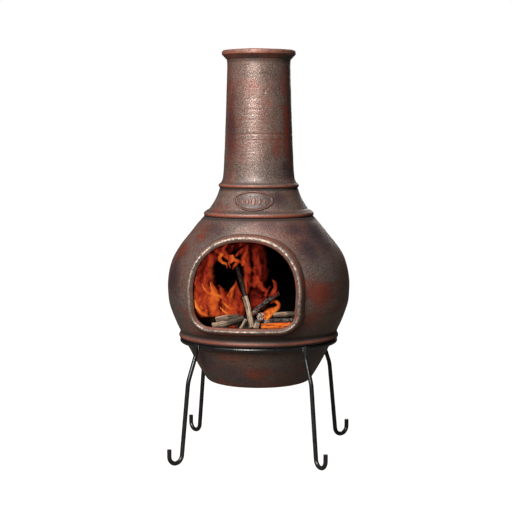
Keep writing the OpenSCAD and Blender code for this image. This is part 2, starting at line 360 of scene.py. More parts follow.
class Nodes:
    """Adds shader nodes to one new material and links them."""

    def __init__(self, name):
        self.material = bpy.data.materials.new(name)
        self.material.use_nodes = True
        self.tree = self.material.node_tree
        self.tree.nodes.clear()
        self.output = self.tree.nodes.new("ShaderNodeOutputMaterial")
        self.place = self.add("ShaderNodeTexCoord").outputs["Object"]

    def add(self, kind, inputs=None, **settings):
        node = self.tree.nodes.new(kind)
        for key, value in settings.items():
            setattr(node, key, value)
        for key, value in (inputs or {}).items():
            self.feed(node.inputs[key], value)
        return node

    def feed(self, socket, value):
        """Links an output to a socket, or sets the socket's own value."""
        if isinstance(value, bpy.types.NodeSocket):
            self.tree.links.new(value, socket)
        elif isinstance(value, tuple) and len(value) == 3 and socket.type == "RGBA":
            socket.default_value = (*value, 1)
        else:
            socket.default_value = value

    def attribute(self, name, output="Fac"):
        return self.add("ShaderNodeAttribute", attribute_name=name).outputs[output]

    def scaled(self, vector, scale):
        return self.add("ShaderNodeMapping", {"Vector": vector, "Scale": scale}).outputs["Vector"]

    def noise(self, scale, detail=3.0, rough=0.5, distortion=0.0, vector=None):
        inputs = {
            "Vector": vector or self.place, "Scale": scale, "Detail": detail, "Roughness": rough,
            "Distortion": distortion,
        }
        return self.add("ShaderNodeTexNoise", inputs).outputs["Fac"]

    def cells(self, scale, vector=None, feature="F1"):
        inputs = {"Vector": vector or self.place, "Scale": scale}
        return self.add("ShaderNodeTexVoronoi", inputs, feature=feature).outputs["Distance"]

    def math(self, operation, a, b=0.0, clamp=False):
        node = self.add("ShaderNodeMath", operation=operation, use_clamp=clamp)
        self.feed(node.inputs[0], a)
        self.feed(node.inputs[1], b)
        return node.outputs[0]

    def times(self, a, b, clamp=False):
        return self.math("MULTIPLY", a, b, clamp)

    def plus(self, a, b, clamp=False):
        return self.math("ADD", a, b, clamp)

    def less(self, a, b, clamp=False):
        return self.math("SUBTRACT", a, b, clamp)

    def span(self, value, low, high, to_low=0.0, to_high=1.0):
        """value from low to high, as a smooth step between two results."""
        inputs = {"Value": value, "From Min": low, "From Max": high, "To Min": to_low, "To Max": to_high}
        return self.add("ShaderNodeMapRange", inputs, interpolation_type="SMOOTHSTEP").outputs["Result"]

    def ramp(self, value, stops):
        node = self.add("ShaderNodeValToRGB", {"Fac": value})
        elements = node.color_ramp.elements
        elements[0].position, elements[-1].position = stops[0][0], stops[-1][0]
        for place, _ in stops[1:-1]:
            elements.new(place)
        for element, (_, colour) in zip(elements, stops):
            element.color = (*colour, 1)
        return node.outputs["Color"]

    def mix(self, share, a, b):
        node = self.add("ShaderNodeMix", data_type="RGBA")
        self.feed(node.inputs[0], share)
        self.feed(node.inputs[6], a)
        self.feed(node.inputs[7], b)
        return node.outputs[2]

    def bump(self, height, distance, strength=1.0, normal=None):
        inputs = {"Height": height, "Distance": distance, "Strength": strength}
        if normal:
            inputs["Normal"] = normal
        return self.add("ShaderNodeBump", inputs).outputs["Normal"]

    def surface(self, **inputs):
        """Ends the material with a Principled shader."""
        shader = self.add("ShaderNodeBsdfPrincipled")
        for key, value in inputs.items():
            self.feed(shader.inputs[key.replace("_", " ")], value)
        self.tree.links.new(shader.outputs["BSDF"], self.output.inputs["Surface"])
        return self.material


# ---- materials ----


def clay_colour(n, wear, polish):
    """The finish before its metal: brown clouds, rubbed red places, darkened patches, rust on the edges,
    painted shade on the plaque's field and painted firelight on the rim's inner edge.
    """
    clouds = n.noise(5.5, 5, 0.6, 0.3)
    smears = n.noise(1.0, 6, 0.65, 0.5, n.scaled(n.place, (7, 7, 24)))
    rubs = n.noise(13, 6, 0.7, 0.8)
    grain = n.noise(230, 4, 0.7)
    base = n.ramp(clouds, [
        (0.36, (0.021, 0.013, 0.015)), (0.46, (0.033, 0.015, 0.012)), (0.54, (0.056, 0.018, 0.010)),
        (0.64, (0.095, 0.021, 0.010)),
    ])
    red = n.span(n.plus(n.times(smears, 0.5), n.times(rubs, 0.5)), 0.52, 0.65)
    rubbed, dusk = n.attribute("rubbed"), n.attribute("dusk")
    rubbed = n.times(rubbed, n.span(n.plus(smears, n.times(rubbed, 0.2)), 0.50, 0.68))
    dusk = n.times(dusk, n.span(n.plus(rubs, n.times(dusk, 0.25)), 0.38, 0.62))
    red = n.times(n.math("MAXIMUM", red, rubbed), n.less(1.0, dusk, True))
    colour = n.mix(n.times(red, 0.72), base, (0.200, 0.026, 0.010))
    # Darkened patches; on the plaque's sunk field this is painted shade.
    colour = n.mix(n.times(dusk, 0.9), colour, (0.019, 0.012, 0.018))
    colour = n.mix(n.span(grain, 0.42, 0.62, 0.0, 0.65), colour, (0.012, 0.008, 0.007))
    # Rust on the edges; on the rim's inner edge this orange is painted firelight.
    rust = n.times(wear, n.span(rubs, 0.30, 0.55, 0.45, 1.0))
    colour = n.mix(n.times(rust, 0.85), colour, (0.28, 0.050, 0.019))
    cover = n.plus(n.times(wear, -0.05), n.times(red, -0.05))
    cover = n.plus(n.plus(cover, n.times(dusk, -0.13)), n.times(rubbed, -0.09))
    return n.mix(polish, colour, (0.034, 0.024, 0.020)), cover, rubs, grain


def clay_material():
    """Fired clay with a rubbed, dark copper finish: red under brown, rusty edges, bare metal on the rim,
    and painted shade in creases, recesses, under ledges and on faces that look down.
    """
    n = Nodes("rubbed_copper_clay")
    wear, groove, polish = n.attribute("wear"), n.attribute("groove"), n.attribute("polish")
    colour, cover, rubs, grain = clay_colour(n, wear, polish)
    level = n.add("ShaderNodeSeparateXYZ", {"Vector": n.add("ShaderNodeNewGeometry").outputs["Normal"]})
    # Fewer light metal flakes on faces that look down: painted shade on the undersides.
    painted_shade_below = n.span(level.outputs["Z"], -0.65, -0.05, 0.1, 1.0)
    flakes = n.times(n.span(n.plus(n.noise(560, 3, 0.65), cover), 0.43, 0.67), painted_shade_below)
    glints = n.times(n.span(n.noise(150, 5, 0.75), 0.41, 0.60), n.span(polish, 0.30, 0.95))
    metal = n.math("MAXIMUM", n.times(flakes, n.span(polish, 0.0, 0.6, 0.74, 0.16)), glints)
    metal = n.times(metal, n.less(1.0, groove, True), True)
    colour = n.mix(metal, colour, n.mix(glints, (0.38, 0.30, 0.26), (0.34, 0.245, 0.19)))
    # Painted shade: near black in creases, in recesses, under beads and under ledges.
    colour = n.mix(n.times(groove, 0.9), colour, (0.010, 0.007, 0.006))
    dull = n.span(n.plus(rubs, n.times(grain, 0.6)), 0.65, 0.95, 0.42, 0.56)
    rough = n.mix(groove, n.mix(glints, dull, (0.52,) * 3), (0.85,) * 3)
    pits = n.span(n.cells(150), 0.05, 0.30)
    waves = n.bump(n.noise(16, 3, 0.5), 0.003, 0.3)
    skin = n.bump(n.noise(1.0, 5, 0.62, 0.0, n.scaled(n.place, (85, 85, 200))), 0.0011, 0.28, waves)
    fine = n.bump(n.plus(grain, n.times(pits, 0.3)), 0.0008, 0.30, skin)
    return n.surface(
        Base_Color=colour, Roughness=rough, Metallic=metal, Normal=fine, IOR=1.5,
        Specular_IOR_Level=0.55, Specular_Tint=(1.0, 0.92, 0.87),
    )


def soot_material():
    """Clay blackened by smoke: dead black, with a little brown where the layer is thin."""
    n = Nodes("sooty_clay")
    thin = n.span(n.noise(24, 5, 0.65), 0.52, 0.75)
    colour = n.mix(thin, (0.004, 0.0037, 0.0035), (0.007, 0.0055, 0.005))
    skin = n.bump(n.noise(140, 5, 0.7), 0.0012, 0.6, n.bump(n.noise(20, 3, 0.5), 0.003, 0.4))
    return n.surface(Base_Color=colour, Roughness=1.0, Normal=skin, Specular_IOR_Level=0.0)


def blacken(piece, soot, values):
    """Gives the sooty material to the faces whose points are mostly sooty."""
    piece.data.materials.append(soot)
    index = len(piece.data.materials) - 1
    for face in piece.data.polygons:
        if sum(values[i] for i in face.vertices) > 0.5 * len(face.vertices):
            face.material_index = index


def black_paint_material():
    """Black satin paint on steel bar that shows the bar's scale, with dust and rust at the chips."""
    n = Nodes("black_satin_paint")
    flow = n.noise(60, 4, 0.6)
    dust = n.noise(14, 4, 0.6)
    chips = n.span(n.noise(95, 5, 0.7), 0.70, 0.74)
    colour = n.mix(n.span(dust, 0.45, 0.75, 0.0, 0.5), (0.0055, 0.0055, 0.006), (0.017, 0.015, 0.014))
    colour = n.mix(n.times(chips, 0.7), colour, (0.060, 0.026, 0.015))
    rough = n.plus(n.span(flow, 0.3, 0.7, 0.24, 0.38), n.times(chips, 0.3), True)
    skin = n.bump(n.noise(260, 4, 0.6), 0.0004, 0.2, n.bump(flow, 0.001, 0.2))
    return n.surface(Base_Color=colour, Roughness=rough, Normal=skin, Specular_IOR_Level=0.5)


def stone_material():
    """Lava stone: dark, dull and full of small holes."""
    n = Nodes("lava_stone")
    colour = n.ramp(n.noise(38, 4, 0.6), [
        (0.3, (0.010, 0.009, 0.009)), (0.6, (0.030, 0.024, 0.022)), (0.8, (0.055, 0.034, 0.028)),
    ])
    holes = n.span(n.cells(240), 0.10, 0.42)
    # The holes are painted near black: painted shade in the pores.
    colour = n.mix(holes, (0.004, 0.004, 0.004), colour)
    colour = n.mix(n.span(n.noise(55, 5, 0.7), 0.60, 0.75, 0.0, 0.5), colour, (0.16, 0.15, 0.14))
    skin = n.bump(holes, 0.0015, 0.9, n.bump(n.noise(120, 5, 0.7), 0.002, 0.7))
    return n.surface(Base_Color=colour, Roughness=n.span(holes, 0, 1, 0.95, 0.82), Normal=skin)


def grain_noise(n, scale, detail=4.0, rough=0.6, distortion=0.3):
    """Noise drawn out along a stick's length."""
    return n.noise(1.0, detail, rough, distortion, n.scaled(n.attribute("grain", "Vector"), scale))


def pale_wood_material():
    """Dry, weathered firewood, with its grain, cracks and a little ash."""
    n = Nodes("dry_firewood")
    fibres = grain_noise(n, (420, 420, 34))
    bands = grain_noise(n, (95, 95, 11))
    colour = n.ramp(bands, [
        (0.25, (0.12, 0.074, 0.048)), (0.45, (0.27, 0.182, 0.122)), (0.62, (0.44, 0.315, 0.215)),
        (0.80, (0.60, 0.47, 0.35)),
    ])
    colour = n.mix(n.span(fibres, 0.35, 0.7, 0.0, 0.6), colour, (0.075, 0.050, 0.036))
    cracks = n.span(grain_noise(n, (190, 190, 9), 3, 0.55, 0.6), 0.57, 0.67)
    # Dark cracks: painted shade in the cracks.
    colour = n.mix(n.times(cracks, 0.85), colour, (0.022, 0.015, 0.012))
    colour = n.mix(n.span(n.noise(60, 4, 0.6), 0.58, 0.78, 0.0, 0.4), colour, (0.36, 0.33, 0.30))
    # Dark furrows and slits: painted shade in the creases.
    colour = n.mix(n.times(n.attribute("crease"), 0.9), colour, (0.020, 0.013, 0.010))
    colour = n.mix(n.attribute("char"), colour, (0.014, 0.011, 0.010))
    height = n.less(n.times(fibres, 0.4), cracks)
    skin = n.bump(height, 0.0014, 0.9, n.bump(bands, 0.003, 0.7))
    return n.surface(Base_Color=colour, Roughness=0.85, Normal=skin, Specular_IOR_Level=0.2)


def charred_wood_material():
    """Wood burnt to charcoal: brown-black blocks, silvery ash, and a glow deep in some cracks."""
    n = Nodes("charred_wood")
    blocks = n.cells(1.0, n.scaled(n.attribute("grain", "Vector"), (130, 130, 75)), "DISTANCE_TO_EDGE")
    cracks = n.span(blocks, 0.0, 0.09, 1.0, 0.0)
    fibres = grain_noise(n, (380, 380, 40))
    colour = n.ramp(fibres, [
        (0.3, (0.008, 0.004, 0.003)), (0.55, (0.022, 0.010, 0.007)), (0.8, (0.050, 0.030, 0.023)),
    ])
    ash = n.times(n.attribute("ash"), n.span(n.noise(150, 5, 0.7), 0.42, 0.58), True)
    colour = n.mix(ash, colour, (0.44, 0.42, 0.40))
    # Black cracks between the blocks: painted shade in the cracks.
    colour = n.mix(cracks, colour, (0.004, 0.004, 0.004))
    bare = n.less(cracks, ash, True)
    glow = n.times(n.times(bare, n.attribute("glow")), 1.2)
    skin = n.bump(n.less(n.times(fibres, 0.3), cracks), 0.0022, 0.8)
    return n.surface(
        Base_Color=colour, Roughness=n.span(fibres, 0.3, 0.75, 0.5, 0.85), Normal=skin,
        Specular_IOR_Level=0.2, Emission_Color=(1.0, 0.16, 0.02), Emission_Strength=glow,
    )


def ember_material():
    """Glowing wood: orange all through, with a thin dark crust that breaks up along the grain."""
    n = Nodes("ember")
    grain = grain_noise(n, (170, 170, 26), 5, 0.65, 0.8)
    crust = n.span(n.plus(grain, n.times(n.noise(90, 4, 0.6), 0.5)), 0.72, 0.90)
    glow = n.ramp(grain, [
        (0.30, (0.95, 0.25, 0.030)), (0.50, (0.74, 0.125, 0.012)), (0.70, (0.26, 0.025, 0.004)),
    ])
    power = n.span(crust, 0, 1, 0.95, 0.10)
    return n.surface(
        Base_Color=n.mix(crust, (0.05, 0.012, 0.004), (0.02, 0.014, 0.011)), Roughness=0.8,
        Normal=n.bump(crust, 0.0016, 0.8), Specular_IOR_Level=0.05,
        Emission_Color=glow, Emission_Strength=power,
    )


def flame_material():
    """Burning gas: thin sheets of red light, orange where hot, torn into wisps that run up the flame."""
    n = Nodes("flame")
    heat, edge, fade = n.attribute("hotness"), n.attribute("edge"), n.attribute("fade")
    wisps = n.noise(1.0, 3.0, 0.5, 1.8, n.scaled(n.place, (26, 26, 15)))
    strands = n.noise(1.0, 2.5, 0.5, 2.4, n.scaled(n.place, (56, 56, 24)))
    lines = n.span(n.math("ABSOLUTE", n.less(strands, 0.5)), 0.0, 0.06, 1.0, 0.0)
    warmth = n.times(heat, 0.84)
    warmth = n.plus(warmth, n.times(n.less(wisps, 0.5), 1.0))
    warmth = n.plus(warmth, n.times(n.times(lines, heat), 0.20))
    colour = n.ramp(warmth, [
        (0.0, (0.014, 0.001, 0.001)), (0.20, (0.10, 0.007, 0.005)), (0.38, (0.28, 0.022, 0.010)),
        (0.55, (0.45, 0.050, 0.015)), (0.72, (0.66, 0.110, 0.018)), (0.88, (0.85, 0.19, 0.025)),
        (1.0, (1.0, 0.33, 0.060)),
    ])
    body = n.span(edge, 0.30, 1.0, 1.0, 0.0)
    tears = n.span(n.plus(wisps, n.times(heat, 0.16)), 0.40, 0.60, 0.30, 1.0)
    share = n.times(n.times(body, fade), tears, True)
    light = n.add("ShaderNodeEmission", {"Color": colour, "Strength": 1.0})
    clear = n.add("ShaderNodeBsdfTransparent")
    both = n.add("ShaderNodeMixShader", {"Fac": share})
    n.tree.links.new(clear.outputs[0], both.inputs[1])
    n.tree.links.new(light.outputs[0], both.inputs[2])
    n.tree.links.new(both.outputs[0], n.output.inputs["Surface"])
    return n.material


def floor_material():
    """Pale studio floor, seen a little brighter than it lights the chiminea."""
    n = Nodes("pale_floor")
    colour = n.mix(n.noise(3, 3, 0.5), (0.135, 0.120, 0.105), (0.150, 0.133, 0.117))
    seen = n.add("ShaderNodeLightPath").outputs["Is Camera Ray"]
    return n.surface(
        Base_Color=colour, Roughness=0.9, Specular_IOR_Level=0.0, Emission_Color=(1, 1, 1),
        Emission_Strength=n.times(seen, 0.98),
    )


# ---- clay pieces ----


def near(radius, z, places, reach):
    """How close each point is to any of the places [radius, z] of a turned shape, from 0 to 1."""
    out = np.zeros(len(radius))
    for r, h in places:
        out = np.maximum(out, np.exp(-((radius - r) ** 2 + (z - h) ** 2) / reach**2))
    return out


# Marks on the pot and the chimney where the finish was rubbed down to the red clay, and patches that are
# darkened: [angle from the mouth, height, half width, half height, strength].
RUBBED = [
    (-45, 607, 38, 30, 0.8), (-60, 556, 40, 34, 0.9), (50, 456, 66, 38, 1.0), (34, 652, 60, 5, 1.0),
    (44, 390, 60, 24, 0.8), (-38, 345, 40, 14, 0.6), (10, 240, 50, 20, 0.8), (-50, 256, 40, 26, 0.6),
    (46, 262, 44, 24, 0.5), (-62, 460, 36, 40, 0.5), (41, 850, 18, 70, 0.7), (-47, 890, 30, 150, 0.8),
    (66, 900, 26, 160, 0.9), (68, 500, 40, 120, 0.5), (-60, 1010, 28, 50, 0.8), (2, 720, 30, 8, 0.8),
    (-50, 690, 26, 10, 0.8), (0, 873, 400, 1.8, 1.0), (0, 856, 400, 1.5, 0.8), (-30, 912, 60, 1.6, 0.7),
    (120, 520, 60, 40, 0.8), (-140, 420, 70, 50, 0.7), (175, 900, 30, 60, 0.7),
]
DARK_PATCHES = [
    (48, 575, 44, 36, 1.0), (18, 632, 36, 16, 0.6), (44, 622, 46, 24, 0.9), (64, 600, 60, 50, 1.0),
    (70, 520, 60, 60, 0.3), (-10, 640, 60, 14, 0.35), (35, 700, 34, 22, 0.8), (-59, 490, 60, 58, 1.0),
    (-30, 622, 44, 26, 0.7), (-44, 885, 24, 80, 0.7), (-44, 270, 44, 30, 0.7), (-30, 260, 60, 30, 0.2),
    (60, 300, 60, 40, 0.6), (60, 780, 26, 30, 0.6), (-150, 600, 90, 60, 0.8), (150, 400, 80, 50, 0.7),
]


def marked(co, marks):
    """How strongly each point is inside any of the marks, from 0 to 1."""
    angle = np.degrees(np.arctan2(co[:, 0], -co[:, 1]))
    out = np.zeros(len(co))
    for at, height, half_w, half_h, strength in marks:
        aside = np.radians((angle - at + 180) % 360 - 180) * np.hypot(co[:, 0], co[:, 1]) / half_w
        out = np.maximum(out, strength * np.exp(-(aside**2) - ((co[:, 2] - height) / half_h) ** 2))
    return out


def bump_noise(x, y, z, size, shift=0.0):
    return noise.noise(Vector((x / size + shift, y / size - shift, z / size + 2 * shift)))


def hand_smoothed(x, y, z):
    """Radial unevenness of hand-smoothed clay, in millimetres, always a little inwards."""
    return 0.9 * (bump_noise(x, y, z, 95) - 0.6) + 0.45 * (bump_noise(x, y, z, 34, 7.3) - 0.6)


def push_out(x, y, z, distance):
    r = math.hypot(x, y)
    return (x * (1 + distance / r), y * (1 + distance / r), z)


def pot_shape(x, y, z):
    """The pot is uneven everywhere but where it meets the stand and the chimney."""
    free = min(1.0, abs(z - FLANGE_Z) / 26) * min(1.0, abs(z - SEAT_Z) / 12)
    return push_out(x, y, z, free * hand_smoothed(x, y, z))


def cut_mouth(pot):
    """Cuts the arched mouth through the pot's front."""
    outline = mouth_outline((THROAT_FLARE + 2,) * 3)[::2]
    count = len(outline)
    verts = [(x, y, z) for y in (-20, -400) for x, z in outline]
    faces = [tuple(range(count)), tuple(reversed(range(count, 2 * count)))]
    faces += [(k, count + k, count + (k + 1) % count, (k + 1) % count) for k in range(count)]
    mesh = bpy.data.meshes.new("mouth_cutter")
    mesh.from_pydata((np.array(verts, float) * MM).tolist(), [], outward(verts, faces))
    mesh.materials.append(pot.data.materials[0])
    cutter = bpy.data.objects.new("mouth_cutter", mesh)
    bpy.context.scene.collection.objects.link(cutter)
    cut = pot.modifiers.new("mouth", "BOOLEAN")
    cut.operation, cut.object, cut.solver = "DIFFERENCE", cutter, "MANIFOLD"
    graph = bpy.context.evaluated_depsgraph_get()
    result = bpy.data.meshes.new_from_object(pot.evaluated_get(graph))
    pot.modifiers.clear()
    old, pot.data = pot.data, result
    bpy.data.meshes.remove(old)
    bpy.data.objects.remove(cutter)
    bpy.data.meshes.remove(mesh)
    sharpen(pot, 50)


def build_fire_pot(clay, soot):
    verts, faces = lathe(dense(POT_OUTLINE, 3.2), POT_SIDES, pot_shape)
    pot = make_object("fire_pot_clay", verts, faces, clay, "pot")
    cut_mouth(pot)
    co = positions(pot)
    radius, z = np.hypot(co[:, 0], co[:, 1]), co[:, 2]
    middle = np.where(z > FLANGE_Z + 22, radius_at(BELLY_TABLE, z), radius_at(BOWL_TABLE, z)) - 9
    inside = np.clip((middle - radius) / 3, 0, 1) * (z > BASE_Z + WALL - 2)
    inside = np.maximum(inside, (z > SEAT_Z + 0.5).astype(float))
    wear = near(radius, z, [(FLANGE_R, FLANGE_Z + 10)], 4.5)
    wear += 0.4 * near(radius, z, [(BASE_R + 13, BASE_Z + 5)], 8)
    # Painted shade in the crease above the flange, under the chimney's foot, as a shadow under the mouth's
    # sill, and on the flange's lower face.
    groove = near(radius, z, [(FLANGE_R - 3, FLANGE_Z + 20)], 5)
    groove += near(radius, z, [(SEAT_R + 2, SEAT_Z - 3)], 6)
    below_mouth = np.clip(1 - np.abs(co[:, 0] - MOUTH_SHIFT) / 190, 0, 1) ** 0.5 * (co[:, 1] < 0)
    groove += 0.9 * below_mouth * near(radius, z, [(FLANGE_R - 1, FLANGE_Z + 25)], 6)
    groove += 0.9 * near(radius, z, beside(FLANGE_R, FLANGE_Z, [(-4, 2), (-1, 4)]), 4.5)
    polish = 0.6 * near(radius, z, [(FLANGE_R - 1, FLANGE_Z + 13)], 3.5)
    outside = 1 - inside
    add_values(
        pot, rubbed=marked(co, RUBBED), dusk=marked(co, DARK_PATCHES), wear=wear * outside,
        groove=np.clip(groove, 0, 1) * outside, polish=polish * outside)
    blacken(pot, soot, inside)
    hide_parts("fire_pot")


# How far the throat widens from the mouth's edge to the inside of the wall.
THROAT_FLARE = 7


def rim_section():
    """The rim's section as [share, rise]. The crest is at share 1 and the skirt's foot at 2."""
    return [tuple(p) for p in smooth([
        (0.0, 3), (0.04, 7.5), (0.18, 12), (0.42, 16.8), (0.66, 20.6), (0.85, 21.7), (1.06, 20.8),
        (1.30, 17), (1.55, 11), (1.78, 5), (1.95, 1), (2.06, -2),
    ], 5)]


# Marks of fingers in the rim: [depth, size, which noise].
RIM_DENTS = [(0.9, 30, 3.1), (0.17, 13, 5.7), (0.10, 5, 1.3)]


def rim_point(outline_at, share, rise, k):
    """Point k round the rim, at a share of its width and a rise above the belly."""
    grow = RIM_CREST * min(share, 1) + (RIM_SKIRT - RIM_CREST) * max(share - 1, 0)
    key = tuple(np.round(grow, 4))
    if key not in outline_at:
        outline_at[key] = mouth_outline(grow)
    x, z = outline_at[key][k]
    x, y, z = on_round(x, z, radius_at(BELLY_TABLE, z) + rise)
    dent = sum(depth * bump_noise(x, y, z, size, shift) for depth, size, shift in RIM_DENTS)
    return push_out(x, y, z, min(1.0, max(0.0, rise / 6)) * dent - 0.4)


def throat_column(k, flared, inner):
    """Points from the inside of the wall to the rim, where the opening is cut through the clay."""
    x, z = inner[k]
    wide_x, wide_z = flared[k]
    outer, inside = radius_at(BELLY_TABLE, z), radius_at(INSIDE_TABLE, wide_z) - 1
    column = []
    for share in np.linspace(0, 1, 14):
        ease = (1 - share) ** 1.6
        px, pz = x + (wide_x - x) * ease, z + (wide_z - z) * ease
        column.append(on_round(px, pz, inside + (outer + 3 - inside) * share))
    return column


def build_mouth_rim(clay, soot):
    """The raised rim: from inside the wall, through the opening, over the crest, down to the belly."""
    inner = mouth_outline((0, 0, 0))
    flared = mouth_outline((THROAT_FLARE,) * 3)
    count = len(inner)
    section = rim_section()
    outline_at = {}
    columns = [
        throat_column(k, flared, inner) + [rim_point(outline_at, s, r, k) for s, r in section]
        for k in range(count)]
    rows = len(columns[0])
    verts = [columns[k][i] for i in range(rows) for k in range(count)]
    faces = outward(verts, grid_faces(rows, count, close_rows=True))
    rim = make_object("mouth_rim_clay", verts, faces, clay, "pot")
    throat_rows = rows - len(section)
    share = np.array([0.0] * throat_rows + [s for s, _ in section])
    rise = np.array(list(np.linspace(-22, 3, throat_rows)) + [r for _, r in section])
    polish = np.clip(1.25 - np.abs(share - 0.80) / 0.48, 0, 1) * np.clip((rise - 8) / 6, 0, 1)
    # Rust on the outer flank; the orange band at the inner edge is painted firelight from the fire.
    wear = 1.0 * np.exp(-((share - 1.26) / 0.24) ** 2) + 0.5 * np.exp(-((share - 0.16) / 0.11) ** 2)
    # Painted shade where the rim's skirt meets the belly.
    groove = 0.45 * np.clip((share - 1.6) / 0.35, 0, 1)
    black = np.clip((10 - rise) / 6, 0, 1) * (share < 0.5)
    add_values(
        rim, wear=np.repeat(wear, count), groove=np.repeat(groove, count), polish=np.repeat(polish, count))
    blacken(rim, soot, np.repeat(black, count))
    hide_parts("mouth_rim")


# Heights of the neck between which the wheel and the fingers left marks.
TURNED_FROM, TURNED_TO = 745, 1060
# The turned lines among those marks: [height, depth, width of the line].
TURNED_LINES = [
    (873, 1.2, 1.6), (856, 0.8, 1.4), (884, 0.25, 2.0), (897, 0.3, 1.8), (911, 0.25, 2.2), (924, 0.35, 1.6),
    (938, 0.2, 2.0), (951, 0.3, 1.8), (966, 0.2, 2.4), (834, 0.2, 3.0), (806, 0.25, 3.0),
]
# Small nicks in the neck: [angle from the mouth, height, depth, half width, half height].
NICKS = [
    (20, 985, 1.6, 3.0, 5.0), (24, 992, 1.1, 2.0, 3.0), (-42, 901, 0.9, 4.0, 3.0),
    (150, 960, 1.2, 4.0, 4.0), (218, 850, 1.0, 5.0, 3.0), (95, 1010, 1.0, 3.0, 4.0),
]
# The lip is uneven over this height.
UNEVEN_LIP = 12


def nick_depth(x, y, z):
    """Depth of the nicks at a point of the neck."""
    depth = 0.0
    angle = math.degrees(math.atan2(x, -y)) % 360
    for at, height, deep, half_w, half_h in NICKS:
        aside = (angle - at + 180) % 360 - 180
        across = math.radians(aside) * NECK_R / half_w
        depth += deep * math.exp(-(across**2) - ((z - height) / half_h) ** 2)
    return depth


def stack_shape(x, y, z):
    """The chimney's surface, with its turned lines, nicks and slightly uneven lip."""
    r = math.hypot(x, y)
    outside = r > radius_at(STACK_TABLE, z) - 9
    free = min(1.0, abs(z - SEAT_Z) / 20)
    distance = free * 0.8 * hand_smoothed(x, y, z)
    if outside and TURNED_FROM < z < TURNED_TO:
        turn = 1.6 * bump_noise(x, y, 0, 160, 2.0)
        for height, depth, width in TURNED_LINES:
            part = 0.6 + 0.8 * bump_noise(x, y, height, 60, 9.0)
            distance -= depth * part * math.exp(-(((z - height - turn) / width) ** 2))
        distance += 0.16 * noise.noise(Vector((x / 400, y / 400, z / 4.5)))
        distance -= nick_depth(x, y, z)
    sink = 0.0
    if z > TOTAL_H - UNEVEN_LIP:
        sink = max(0.0, 1.3 * (0.5 + bump_noise(x, y, 0, 70, 4.0)))
        sink *= min(1.0, (z - TOTAL_H + UNEVEN_LIP) / 8)
    x, y, z = push_out(x, y, z, distance)
    return x, y, z - sink


def build_chimney(clay, soot):
    verts, faces = lathe(dense(STACK_OUTSIDE, 2.2) + dense(STACK_INSIDE, 5), CHIMNEY_SIDES, stack_shape)
    stack = make_object("chimney_clay", verts, faces, clay, "chimney")
    sharpen(stack, 60)
    co = positions(stack)
    radius, z = np.hypot(co[:, 0], co[:, 1]), co[:, 2]
    middle = radius_at(STACK_TABLE, z) - 8
    inside = np.clip((middle - radius) / 4, 0, 1) * np.clip((TOTAL_H - 2 - z) / 6, 0, 1)
    crests = [(LOW_BEAD[0] + BEAD_R, LOW_BEAD[1]), (HIGH_BEAD[0] + BEAD_R, HIGH_BEAD[1])]
    lip = beside(LIP_R, TOTAL_H, [(0, -3), (-4, 0)])
    wear = near(radius, z, crests, 4.5) + 0.75 * near(radius, z, lip, 6)
    wear += 0.35 * near(radius, z, [(LIP_R, TOTAL_H - 11)], 6)
    # Painted shade under the beads, in the hollows above them and under the lip.
    bead_feet = beside(0, SEAT_Z, [(147.5, 0), (107.8, 77.2)])
    hollows = bead_feet + beside(0, SEAT_Z, [(143, 16), (105, 92)]) + [(NECK_R, TOTAL_H - 30)]
    groove = near(radius, z, bead_feet, 4.5) + 0.45 * near(radius, z, hollows, 5)
    tops = [(r - 1.5, h + 3.5) for r, h in crests] + [(LIP_R - 1, TOTAL_H - 5)]
    outside = 1 - inside
    add_values(
        stack, rubbed=marked(co, RUBBED), dusk=marked(co, DARK_PATCHES), wear=np.clip(wear, 0, 1) * outside,
        groove=np.clip(groove, 0, 1) * outside, polish=0.75 * near(radius, z, tops, 2.4) * outside)
    blacken(stack, soot, inside)
    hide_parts("chimney_stack")


# ---- plaque ----

PLAQUE_HALF_W = 53.5
PLAQUE_HALF_H = 26
PLAQUE_Z = SEAT_Z + 47
PLAQUE_TURN = math.radians(2.7)
# Raised flames on the plaque: [middle x, foot z, half width, height, lean].
PLAQUE_FLAMES = [(0, -11, 6.5, 23, 1.5), (-16, -9, 5.0, 17, -2.5), (16, -9, 5.0, 17, 3.0),
                 (-29, -7, 3.6, 12, -2.0), (29, -7, 3.6, 12, 2.0)]
PLAQUE_DOTS = [(-38, 0), (38, 0), (-8.5, 11), (8.5, 11)]


def smoothstep(low, high, value):
    t = min(1.0, max(0.0, (value - low) / (high - low)))
    return t * t * (3 - 2 * t)


def flame_relief(p, q):
    """Height of the raised flames and dots at a point of the plaque's field."""
    rise = 0.0
    for x, foot, half_w, height, lean in PLAQUE_FLAMES:
        up = (q - foot) / height
        if 0 < up < 1:
            width = half_w * 2.6 * math.sqrt(up) * (1 - up) ** 1.1
            aside = abs(p - x - lean * up * up) / max(width, 0.05)
            rise = max(rise, 1.7 * (1 - smoothstep(0.55, 1.15, aside)))
    for x, z in PLAQUE_DOTS:
        rise = max(rise, 1.3 * (1 - smoothstep(0.8, 2.0, math.hypot(p - x, q - z))))
    return rise


def bell(value, middle, width):
    """1 at the middle, and falling to 0 on both sides."""
    return math.exp(-(((value - middle) / width) ** 2))


